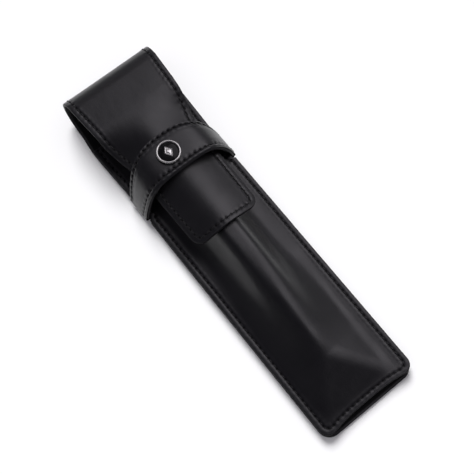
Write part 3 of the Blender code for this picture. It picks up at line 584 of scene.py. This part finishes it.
def lining_cloth():
    """Fine black ribbed lining cloth, from the sheet's own flat coordinates."""
    look = Look("lining_cloth", (0.006, 0.006, 0.006), 0.8, Specular_IOR_Level=0.15,
                Sheen_Weight=0.05, Sheen_Roughness=0.5)
    warp = look.math("SINE", look.math("MULTIPLY", look.field("sheet_u"), 2 * math.pi / WARP))
    weft = look.math("SINE", look.math("MULTIPLY", look.field("sheet_v"), 2 * math.pi / WEFT))
    weave = look.math("MULTIPLY", warp, weft)
    slub = look.noise(0.8, 4.0, 0.6)
    tone = look.math("MULTIPLY_ADD", weave, 0.25, slub)
    look.colours(tone, (0.0012, 0.0012, 0.0014), (0.0055, 0.0053, 0.0058))
    look.wire(look.spread(tone, 0.2, 0.9, 0.7, 0.9), look.shader.inputs["Roughness"])
    look.bumps([(weave, 0.035), (slub, 0.05)])
    return look.material


def waxed_thread():
    look = Look("waxed_thread", (0.006, 0.006, 0.006), 0.5)
    fibre = look.noise(7.0, 3.0, 0.6)
    look.colours(fibre, (0.0025, 0.0025, 0.0028), (0.0085, 0.0082, 0.009))
    look.wire(look.spread(fibre, 0.3, 0.7, 0.4, 0.55), look.shader.inputs["Roughness"])
    look.bumps([(fibre, 0.03)])
    return look.material


def polished_metal():
    look = Look("polished_metal", (0.72, 0.71, 0.69), 0.16, metallic=1.0)
    cloud = look.noise(0.9, 3.0)
    scratch = look.noise(2.5, 4.0, 0.6, (0.3, 4.0, 1.0))
    look.colours(cloud, (0.66, 0.65, 0.63), (0.80, 0.79, 0.77))
    look.wire(look.spread(scratch, 0.3, 0.7, 0.2, 0.36), look.shader.inputs["Roughness"])
    look.bumps([(scratch, 0.004)])
    return look.material


def black_enamel():
    look = Look("black_enamel", (0.004, 0.004, 0.0045), 0.16, Specular_IOR_Level=0.12)
    cloud = look.noise(0.7, 2.0)
    look.colours(cloud, (0.002, 0.002, 0.0025), (0.006, 0.006, 0.0065))
    look.wire(look.spread(cloud, 0.3, 0.7, 0.12, 0.2), look.shader.inputs["Roughness"])
    look.bumps([(cloud, 0.03)])
    return look.material


CALF, EDGE, FLESH = calf_leather(), cut_edge(), flesh_side()
CLOTH, THREAD_LOOK = lining_cloth(), waxed_thread()
METAL, ENAMEL = polished_metal(), black_enamel()
LEATHER_LOOKS, LINING_LOOKS = [CALF, EDGE, FLESH], [CLOTH, CLOTH, CLOTH]


# ---- camera, floor and lights --------------------------------------------------------------------
def stage():
    elevation, turn, distance = math.radians(73.36), math.radians(-38.52), 311.4
    back = Vector((math.sin(turn) * math.cos(elevation),
                   -math.cos(turn) * math.cos(elevation), math.sin(elevation)))
    lens = bpy.data.cameras.new("camera")
    lens.lens, lens.sensor_width, lens.clip_start = 60.76, 36, 0.01
    camera = link(bpy.data.objects.new("camera", lens))
    camera.location = Vector(world_points((1.8, 81.2, 0))) + back * distance * MM
    camera.rotation_euler = (-back).to_track_quat("-Z", "Y").to_euler()
    bpy.context.scene.camera = camera

    mesh = bpy.data.meshes.new("floor")
    half, low = 30, -0.0002      # metres: wide, and just clear of the rest face
    mesh.from_pydata([(-half, -half, low), (half, -half, low), (half, half, low),
                      (-half, half, low)], [], [(0, 1, 2, 3)])
    paper = Look("pale_floor", (0.9, 0.9, 0.905), 0.85, Specular_IOR_Level=0.1)
    paper.colours(paper.noise(0.02, 3.0), (0.895, 0.893, 0.90), (0.91, 0.91, 0.912))
    mesh.materials.append(paper.material)
    link(bpy.data.objects.new("floor", mesh))

    def aim(name, light, towards, distance=1.0, glossy=True, diffuse=True):
        made = link(bpy.data.objects.new(name, light))
        made.location = Vector(towards).normalized() * distance
        made.rotation_euler = (-made.location).to_track_quat("-Z", "Y").to_euler()
        made.visible_glossy, made.visible_diffuse = glossy, diffuse

    def card(name, towards, distance, size, power, colour=(1, 1, 1)):
        """A lit card that the leather mirrors. It doesn't light the floor."""
        light = bpy.data.lights.new(name, "AREA")
        light.shape, light.size, light.size_y = "RECTANGLE", size[0], size[1]
        light.energy, light.color = power, colour
        aim(name, light, towards, distance, diffuse=False)

    def wash(name, towards, strength, angle, colour=(1, 1, 1)):
        """Soft light of the same strength everywhere, which no surface mirrors."""
        light = bpy.data.lights.new(name, "SUN")
        light.energy, light.angle, light.color = strength, math.radians(angle), colour
        aim(name, light, towards, glossy=False)

    card("softbox", (0.50, 0.13, 0.86), 0.9, (0.84, 0.62), 3.0, (0.98, 0.94, 1.0))
    card("rear_card", (0.15, 0.85, 0.5), 1.0, (1.2, 0.6), 0.5)
    card("side_card", (0.95, -0.05, 0.32), 1.0, (1.3, 0.5), 0.3)
    card("left_card", (-0.8, 0.1, 0.6), 1.0, (1.0, 0.5), 0.12)
    wash("key", (0.22, 0.62, 0.74), 3.25, 30)
    wash("sky", (0.0, 0.0, 1.0), 0.95, 110, (0.99, 0.975, 1.0))

    # a pale backdrop to look at, with only faint light of its own
    world = bpy.data.worlds.new("studio")
    world.use_nodes = True
    nodes, links = world.node_tree.nodes, world.node_tree.links
    faint, seen = nodes["Background"], nodes.new("ShaderNodeBackground")
    faint.inputs["Color"].default_value = (0.86, 0.82, 1.0, 1)
    faint.inputs["Strength"].default_value = 0.08
    seen.inputs["Color"].default_value = (1.0, 0.995, 1.0, 1)
    both, path = nodes.new("ShaderNodeMixShader"), nodes.new("ShaderNodeLightPath")
    links.new(path.outputs["Is Camera Ray"], both.inputs[0])
    links.new(faint.outputs[0], both.inputs[1])
    links.new(seen.outputs[0], both.inputs[2])
    links.new(both.outputs[0], nodes["World Output"].inputs["Surface"])
    bpy.context.scene.world = world
    bpy.context.scene.view_settings.view_transform = "Standard"


stage()


# ---- the long strip: pouch back, fold and flap -------------------------------------------------
def seam_round(side, corner):
    """A row down one side, round its corner and across the end, then back up the other side."""
    end_x, end_run = corner[-1]
    across = steps(end_x, 0, SEAM_STEP)[1:-1]
    bottom = np.stack([across, np.full(len(across), end_run)], -1)
    half = np.concatenate([side, corner, bottom, [(0, end_run)]])
    return np.concatenate([half, half[-2::-1] * (-1, 1)])


def strip_seams():
    """Stitch lines of the strip in its flat coordinates (x, run)."""
    y = steps(MOUTH_Y - SEAM_END_CLEAR, CORNER_RADIUS, SEAM_STEP)
    side = np.stack([pouch_half_width(y) - SEAM_INSET, y - MOUTH_Y], -1)
    turn = np.linspace(0, math.pi / 2, 12)[1:]
    radius = CORNER_RADIUS - SEAM_INSET
    corner = np.stack([POUCH_HALF_WIDTH - CORNER_RADIUS + radius * np.cos(turn),
                       CORNER_RADIUS - radius * np.sin(turn) - MOUTH_Y], -1)
    back = seam_round(side, corner)

    run = steps(RISER_RUN + FLAP_ROW_START, FLAP_RUN - TONGUE_CORNER, SEAM_STEP)
    side = np.stack([strip_half_width(run) - SEAM_INSET, run], -1)
    radius = TONGUE_CORNER - SEAM_INSET
    middle = flap_half_width(TONGUE_END_Y + TONGUE_CORNER) - TONGUE_CORNER
    corner = np.stack([middle + radius * np.cos(turn),
                       FLAP_RUN - TONGUE_CORNER + radius * np.sin(turn)], -1)
    return back, seam_round(side, corner)


def even_path(path, step=0.2):
    lengths = along_path(path)
    return sample(path, lengths, steps(0, lengths[-1], step))


def strip_surface(x, run):
    """Points and outward normals of the strip's outer face."""
    h = 0.05
    across = strip_points(x + h, run) - strip_points(x - h, run)
    along = strip_points(x, run + h) - strip_points(x, run - h)
    return strip_points(x, run), unit(np.cross(along, across))


BACK_SEAM, FLAP_SEAM = (even_path(path) for path in strip_seams())
FOLD_MIDDLE = RISER_RUN + ARC_RUN / 2
FOLD_END = RISER_RUN + ARC_RUN


def at_case(y, z):
    return tuple(world_points((0, y, z)))


STRETCHES = {
    # name: (first run, last run, body, next body, blend start, blend end)
    "back": (-MOUTH_Y + RIM, RISER_RUN, "case", "flap_riser", at_case(143.6, 0),
             at_case(154.2, 0)),
    "fold_lower": (RISER_RUN, FOLD_MIDDLE, "flap_riser", "flap_bend", at_case(155.2, 0.6),
                   at_case(163.1, 8.6)),
    "fold_upper": (FOLD_MIDDLE, FOLD_END, "flap_bend", "flap_crown", at_case(163.1, 10.3),
                   at_case(155.2, 18.3)),
    "flap": (FOLD_END, FLAP_RUN - RIM, "flap_crown", "flap_front", at_case(153.5, 18.9),
             at_case(110.0, 18.9)),
}


def strip_rows(fine):
    """Rows of the strip, with one exactly at each stretch's ends."""
    corner = corner_steps(CORNER_RADIUS - RIM)
    rows = [-MOUTH_Y + RIM + corner, steps(-MOUTH_Y + CORNER_RADIUS, 0, 0.72 * fine),
            steps(0, RISER_RUN, 0.7 * fine), steps(RISER_RUN, FOLD_MIDDLE, 0.42 * fine),
            steps(FOLD_MIDDLE, FOLD_END, 0.42 * fine),
            steps(FOLD_END, FLAP_RUN - TONGUE_CORNER, 0.5 * fine),
            (FLAP_RUN - RIM - corner_steps(TONGUE_CORNER - RIM))[::-1]]
    return np.unique(np.round(np.concatenate(rows), 6))


def build_strip():
    run = strip_rows(1.0)
    x = -columns(strip_half_width(run, RIM))
    runs = np.broadcast_to(run[:, None], x.shape)
    points = strip_points(x, runs)
    normals = grid_normals(points)
    flat = np.stack([x, runs], -1).reshape(-1, 2)
    across, phase = seam_fields([BACK_SEAM, FLAP_SEAM], flat)
    edge = np.minimum(np.abs(x[:, :1]) - np.abs(x), np.minimum(runs - run[0], run[-1] - runs))
    points = points - normals * sunk(across, phase).reshape(x.shape)[..., None]
    rims = outward(points, normals)
    fields = {"seam_across": across.reshape(x.shape), "seam_phase": phase.reshape(x.shape),
              "edge_mm": edge, "sheet_u": x, "sheet_v": runs}
    stands_for = {"back": ("back_panel", "flap_riser_leather"), "fold_lower": ("flap_bend_leather",),
                  "fold_upper": ("flap_crown_leather",), "flap": ("flap_front_leather",)}
    cut_strip("leather", run, points, normals, rims, LEATHER, LEATHER_LOOKS, fields, stands_for,
              RIM)


def cut_strip(word, run, points, normals, rims, thickness, looks, fields, stands_for, bulge):
    """Makes the strip's four stretches, which share their end rows."""
    for name, (first, last, body, next_body, start, end) in STRETCHES.items():
        rows = slice(int(np.abs(run - first).argmin()), int(np.abs(run - last).argmin()) + 1)
        rim = rims[rows].copy()
        for row, at_end in ((0, name == "back"), (-1, name == "flap")):
            if not at_end:
                rim[row, 1:-1] = 0
        piece = slab(name + "_" + word, points[rows], normals[rows], rim, thickness, looks,
                     {field: values[rows] for field, values in fields.items()}, bulge)
        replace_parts(piece, *stands_for[name])
        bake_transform(piece)


def build_strip_lining():
    run = strip_rows(2.0)
    first, last = -MOUTH_Y + LINING_INSET, FLAP_RUN - LINING_INSET
    run = np.concatenate([[first], run[(run > first) & (run < last)], [last]])
    half_width = strip_half_width(run, LINING_INSET)
    under_strap = ramp(run, *STRAP_ROOM_RUN[:2]) * (1 - ramp(run, *STRAP_ROOM_RUN[2:]))
    limit = mix(99.0, STRAP_ROOM_HALF_WIDTH, np.clip(under_strap * 6, 0, 1))
    x = -columns(np.minimum(half_width, limit), fine=2.0, step=1.0, middle=1.6)
    runs = np.broadcast_to(run[:, None], x.shape)
    points = strip_points(x, runs)
    normals = grid_normals(points)
    points = points - normals * LINING_DEPTH
    fields = {"sheet_u": x, "sheet_v": runs}
    stands_for = {"back": ("back_lining", "flap_riser_lining"), "fold_lower": ("flap_bend_lining",),
                  "fold_upper": ("flap_crown_lining",), "flap": ("flap_front_lining",)}
    cut_strip("lining", run, points, normals, outward(points, normals), LINING, LINING_LOOKS,
              fields, stands_for, LINING_BULGE)


def build_strip_stitches():
    lengths = along_path(BACK_SEAM)
    points, normals = strip_surface(BACK_SEAM[:, 0], BACK_SEAM[:, 1])
    back = stitch_row("back_seam_stitches", points - normals * BACK_SINK, normals, THREAD_LOOK,
                      lengths, round(lengths[-1] / PITCH))
    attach(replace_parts(back, "seam_thread_back"), "case")

    lengths = along_path(FLAP_SEAM)
    count = round(lengths[-1] / PITCH)
    holes = np.arange(count + 1) * lengths[-1] / count
    run_of = np.interp((holes[1:] + holes[:-1]) / 2, lengths, FLAP_SEAM[:, 1])
    stands_for = {"fold_lower": ("flap_riser_thread_left", "flap_riser_thread_right"),
                  "fold_upper": ("flap_bend_thread_left", "flap_bend_thread_right",
                                 "flap_crown_thread_left", "flap_crown_thread_right"),
                  "flap": ("flap_front_thread",)}
    surface, facing = strip_surface(FLAP_SEAM[:, 0], FLAP_SEAM[:, 1])
    surface = surface - facing * CHANNEL_DEPTH
    for name, (first, last, body, next_body, start, end) in STRETCHES.items():
        if name == "back":
            continue
        inside = np.flatnonzero((run_of >= first) & (run_of < last + (99 if name == "flap" else 0)))
        groups = np.split(inside, np.flatnonzero(np.diff(inside) > 1) + 1)
        made = []
        for number, group in enumerate(groups):
            at = steps(holes[group[0]], holes[group[-1] + 1], 0.1)
            line, toward = sample(surface, lengths, at), sample(facing, lengths, at)
            made.append(stitch_row(f"{name}_stitches_{number}", line, unit(toward), THREAD_LOOK,
                                   at - at[0], len(group)))
        piece = joined(f"{name}_stitches", made)
        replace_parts(piece, *stands_for[name])
        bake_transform(piece)


def joined(name, pieces):
    """One mesh of several, all already in the row frame."""
    vertices, faces, first = [], [], 0
    for piece in pieces:
        mesh = piece.data
        places = np.empty(len(mesh.vertices) * 3)
        mesh.vertices.foreach_get("co", places)
        vertices.append(places.reshape(-1, 3) / MM + (0, MIDDLE_Y, 0))
        faces += [[first + index for index in face.vertices] for face in mesh.polygons]
        first += len(mesh.vertices)
        bpy.data.objects.remove(piece)
    return mesh_piece(name, np.concatenate(vertices), faces, [THREAD_LOOK], sharp=80)


# ---- the pouch's front -------------------------------------------------------------------------
def front_surface(x, y):
    h = 0.05
    y = front_y(x, y)
    points = np.stack([x, y, front_height(x, y)], -1)
    slope_x = (front_height(x + h, y) - front_height(x - h, y)) / (2 * h)
    slope_y = (front_height(x, y + h) - front_height(x, y - h)) / (2 * h)
    return points, unit(np.stack([-slope_x, -slope_y, np.ones_like(slope_x)], -1))


def build_front():
    corner = corner_steps(CORNER_RADIUS - RIM)
    y = np.unique(np.round(np.concatenate([RIM + corner, steps(CORNER_RADIUS, MOUTH_Y - 2.5, 0.56),
                                           steps(MOUTH_Y - 2.5, MOUTH_Y - RIM, 0.36)]), 6))
    x = columns(pouch_half_width(y, RIM), middle=0.7)
    ys = np.broadcast_to(y[:, None], x.shape)
    points, normals = front_surface(x, ys)
    seam = np.stack([BACK_SEAM[:, 0], BACK_SEAM[:, 1] + MOUTH_Y], -1)
    reach = MOUTH_HALF_WIDTH - SEAM_INSET - MOUTH_ROW_CLEAR
    mouth_x = steps(-reach, reach, 0.2)
    mouth_line = np.stack([mouth_x, np.full(len(mouth_x), MOUTH_Y - SEAM_INSET)], -1)
    across, phase = seam_fields([seam, mouth_line], np.stack([x, ys], -1).reshape(-1, 2))
    depth = sunk(across, phase).reshape(x.shape) + foot_crease(x, ys)
    points = points - normals * depth[..., None]
    edge = np.minimum(np.abs(x[:, :1]) - np.abs(x), np.minimum(ys - y[0], y[-1] - ys))
    fields = {"seam_across": across.reshape(x.shape), "seam_phase": phase.reshape(x.shape),
              "edge_mm": edge}
    front = slab("front_leather", points, normals, outward(points, normals), LEATHER,
                 LEATHER_LOOKS, fields)
    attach(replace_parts(front, "front_panel"), "case")

    for name, line, node in (("front_seam_stitches", seam, "seam_thread_front"),
                             ("mouth_stitches", mouth_line, "mouth_thread")):
        points, normals = front_surface(line[:, 0], line[:, 1])
        lengths = along_path(line)
        row = stitch_row(name, points - normals * CHANNEL_DEPTH, normals, THREAD_LOOK, lengths,
                         round(lengths[-1] / PITCH))
        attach(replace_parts(row, node), "case")

    y = np.concatenate([[LINING_INSET], steps(1.8, MOUTH_Y - 0.5, 0.9)])
    half_width = pouch_half_width(y, LINING_INSET)
    under_strap = (y > STRAP_ROOM_Y[0]) & (y < STRAP_ROOM_Y[1])
    narrowed = np.minimum(half_width, STRAP_ROOM_HALF_WIDTH)
    x = columns(np.where(under_strap, narrowed, half_width), fine=2.0, step=1.0, middle=1.1)
    ys = np.broadcast_to(y[:, None], x.shape)
    points, normals = front_surface(x, ys)
    points = points - normals * LINING_DEPTH
    lining = slab("front_lining_cloth", points, normals, outward(points, normals), LINING,
                  LINING_LOOKS, {"sheet_u": x, "sheet_v": ys}, LINING_BULGE)
    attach(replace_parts(lining, "front_lining"), "case")


# ---- keeper strap ------------------------------------------------------------------------------
UPPER_ROW, LOWER_ROW = 1.3, 2.2     # stitch rows from the strap's two edges
LOWER_BORDER, UPPER_BORDER = (1.75, 0.4), (0.95, 0.12)      # width and height, rolled
BORDER_REACH = 3.9                  # where the rows along an edge give way to wider ones
STRAP_PUFF = 0.22                   # crown of the leather between the stitch rows
STRAP_SINK = 1.3                    # its stitches lie this much deeper than the pouch's
FLAT_END, FLAT_END_FADE = 5.0, 4.0  # the ends between the panels are plain
STRAP_LINING, STRAP_LINING_DROP, STRAP_LINING_INSET = 0.4, 11.0, 0.5


def strap_frame():
    """The strap's profile at even distances: the distances, and the points (x, z)."""
    profile = strap_profile()
    lengths = along_path(profile)
    at = steps(0, lengths[-1], 0.42)
    return at, sample(profile, lengths, at)


def border(distance, width, height):
    """Height of a rolled border, at a distance from the strap's edge."""
    share = np.clip(1 - ((distance - width / 2) / (width / 2)) ** 2, 0, 1)
    return height * share ** 0.6


def build_strap():
    at, profile = strap_frame()
    total = at[-1]
    low, high = strap_edges(profile[:, 0], profile[:, 1])
    low, high = low + RIM, high - RIM
    border_rows = np.arange(0, BORDER_REACH, 0.26)
    from_low = np.broadcast_to(border_rows, (len(at), len(border_rows)))
    middle = mix(low[:, None] + BORDER_REACH, high[:, None] - BORDER_REACH,
                 np.linspace(0, 1, 22)[None, :])
    y = np.concatenate([low[:, None] + from_low, middle, high[:, None] - from_low[:, ::-1]], axis=1)
    x = np.broadcast_to(profile[:, :1], y.shape)
    z = np.broadcast_to(profile[:, 1:], y.shape)
    points = np.stack([x, y, z], -1)
    normals = grid_normals(points)
    if (normals[len(at) // 2, 0] * (0, 0, 1)).sum() < 0:
        normals = -normals
    to_low, to_high = y - low[:, None], high[:, None] - y
    seam_low, seam_high = to_low - LOWER_ROW + RIM, to_high - UPPER_ROW + RIM
    across = np.minimum(np.abs(seam_low), np.abs(seam_high))
    first, last = strap_seam_span(at, profile)
    count = round((last - first) / PITCH)
    phase = np.broadcast_to(((at - first) * count / (last - first))[:, None], y.shape)
    outside = (at < first - 0.3) | (at > last + 0.3)
    across = np.where(outside[:, None], 9.0, across)
    fade = np.clip((np.minimum(at, total - at) - FLAT_END) / FLAT_END_FADE, 0, 1)[:, None]
    puff = border(to_low, *LOWER_BORDER) + border(to_high, *UPPER_BORDER)
    puff = puff + STRAP_PUFF * ramp(np.minimum(seam_low, seam_high), 0.3, 3.0)
    points = points + normals * (puff * fade - sunk(across, phase) * STRAP_SINK)[..., None]
    rims = outward(points, normals)
    fields = {"seam_across": across, "seam_phase": phase, "edge_mm": np.minimum(to_low, to_high)}
    # the grid runs from the left end to the right, so its faces look outwards once turned over
    flip = slice(None, None, -1)
    strap = slab("strap_leather", points[:, flip], normals[:, flip], rims[:, flip], LEATHER,
                 LEATHER_LOOKS, {name: values[:, flip] for name, values in fields.items()})
    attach(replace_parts(strap, "strap"), "case")

    for name, node, row in (("strap_stitches_lower", "strap_thread_lower", "low"),
                            ("strap_stitches_upper", "strap_thread_upper", "high")):
        spots = steps(first, last, 0.3)
        px, pz = (np.interp(spots, at, profile[:, axis]) for axis in range(2))
        edge_low, edge_high = strap_edges(px, pz)
        py = edge_low + LOWER_ROW if row == "low" else edge_high - UPPER_ROW
        line = np.stack([px, py, pz], -1)
        tangent = unit(np.gradient(np.stack([px, pz], -1), axis=0))
        facing = np.stack([-tangent[:, 1], 0 * px, tangent[:, 0]], -1)
        stitches = stitch_row(name, line - facing * CHANNEL_DEPTH * STRAP_SINK, facing, THREAD_LOOK,
                              spots - first, count)
        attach(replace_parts(stitches, node), "case")

    reach = profile[:, 1] >= STRAP_TOP - STRAP_LINING_DROP
    px, pz = profile[reach, 0], profile[reach, 1]
    low, high = strap_edges(px, pz)
    share = np.linspace(0, 1, 12)
    y = mix(low[:, None] + STRAP_LINING_INSET, high[:, None] - STRAP_LINING_INSET, share[None, :])
    points = np.stack([np.broadcast_to(px[:, None], y.shape), y,
                       np.broadcast_to(pz[:, None], y.shape)], -1)
    normals = grid_normals(points)
    if normals[len(px) // 2, 0, 2] < 0:
        normals = -normals
    points = (points - normals * (LEATHER + 0.06))[:, flip]
    normals = normals[:, flip]
    lining = slab("strap_lining_cloth", points, normals, outward(points, normals), STRAP_LINING,
                  LINING_LOOKS, {"sheet_u": y[:, flip], "sheet_v": np.broadcast_to(
                      at[reach][:, None], y.shape)}, 0.1)
    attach(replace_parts(lining, "strap_lining"), "case")


def strap_seam_span(at, profile):
    """Where the strap's stitch rows start and end along its profile."""
    seen = at[profile[:, 1] >= STRAP_ARCH_FOOT + 1.2]
    return seen[0], seen[-1]


# ---- badge -------------------------------------------------------------------------------------
def lathe(name, profile, look, segments=96):
    """A turned piece over the badge's centre, from (radius, z) points, outside from top to bottom."""
    profile = np.asarray(profile, float)
    turn = np.linspace(0, 2 * math.pi, segments, endpoint=False)
    rings = np.stack([BADGE_X + profile[:, :1] * np.cos(turn), BADGE_Y + profile[:, :1] * np.sin(turn),
                      np.broadcast_to(profile[:, 1:], (len(profile), segments))], -1)
    vertices = rings.reshape(-1, 3)
    index = np.arange(len(vertices)).reshape(len(profile), segments)
    faces = np.stack([index[:-1], index[1:], np.roll(index[1:], -1, 1), np.roll(index[:-1], -1, 1)],
                     -1).reshape(-1, 4).tolist()
    if not np.allclose(profile[0], profile[-1]):
        faces += [index[0].tolist(), index[-1, ::-1].tolist()]
    return mesh_piece(name, vertices, faces, [look], sharp=35)


def build_badge():
    rim = BADGE_BASE + 1.5
    outer = BADGE_RADIUS
    round_in = [(outer - 0.42 + 0.40 * math.sin(a), rim - 0.40 + 0.40 * math.cos(a))
                for a in np.linspace(-1.2, math.pi / 2, 12)]
    bezel = round_in + [(outer, BADGE_BASE + 0.35), (outer - 0.12, BADGE_BASE + 0.08),
                        (outer - 0.3, BADGE_BASE), (outer - 1.2, BADGE_BASE),
                        (outer - 1.2, BADGE_BASE + 0.5), (outer - 0.86, BADGE_BASE + 0.95)]
    ring = lathe("badge_ring", bezel + bezel[:1], METAL)
    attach(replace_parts(ring, "badge_bezel"), "case")

    radius, foot = outer - 0.88, BADGE_BASE + 0.55
    dome = [(radius * math.sin(a), foot + 0.35 + 0.55 * math.cos(a))
            for a in np.linspace(0.02, math.pi / 2, 16)]
    disc = lathe("badge_dome", dome + [(radius, foot), (0.05, foot)], ENAMEL)
    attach(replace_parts(disc, "badge_disc"), "case")

    # a plain faceted lozenge: rim, bevel and a raised ridge
    top = foot + 0.35 + 0.55
    outline = np.array([(0, 2.5), (0.9, 1.25), (1.7, 0), (0.9, -1.25), (0, -2.5), (-0.9, -1.25),
                        (-1.7, 0), (-0.9, 1.25)])
    levels = ((1.0, -0.28), (1.0, 0.02), (0.86, 0.13), (0.72, 0.03), (0.62, 0.03), (0.28, 0.22))
    vertices = [(BADGE_X + px * size, BADGE_Y + py * size, top + height)
                for size, height in levels for px, py in outline]
    count = len(outline)
    index = np.arange(len(vertices)).reshape(len(levels), count)
    faces = ring_faces(index)[:, ::-1].tolist()
    faces += [index[0].tolist(), index[-1, ::-1].tolist()]
    emblem = mesh_piece("badge_lozenge", vertices, faces, [METAL], sharp=20)
    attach(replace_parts(emblem, "badge_emblem"), "case")


build_strip()
build_strip_lining()
build_strip_stitches()
build_front()
build_strap()
build_badge()

for name in ("badge_rivet", "badge_washer"):
    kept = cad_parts[name]
    kept.data.materials.clear()
    kept.data.materials.append(METAL)
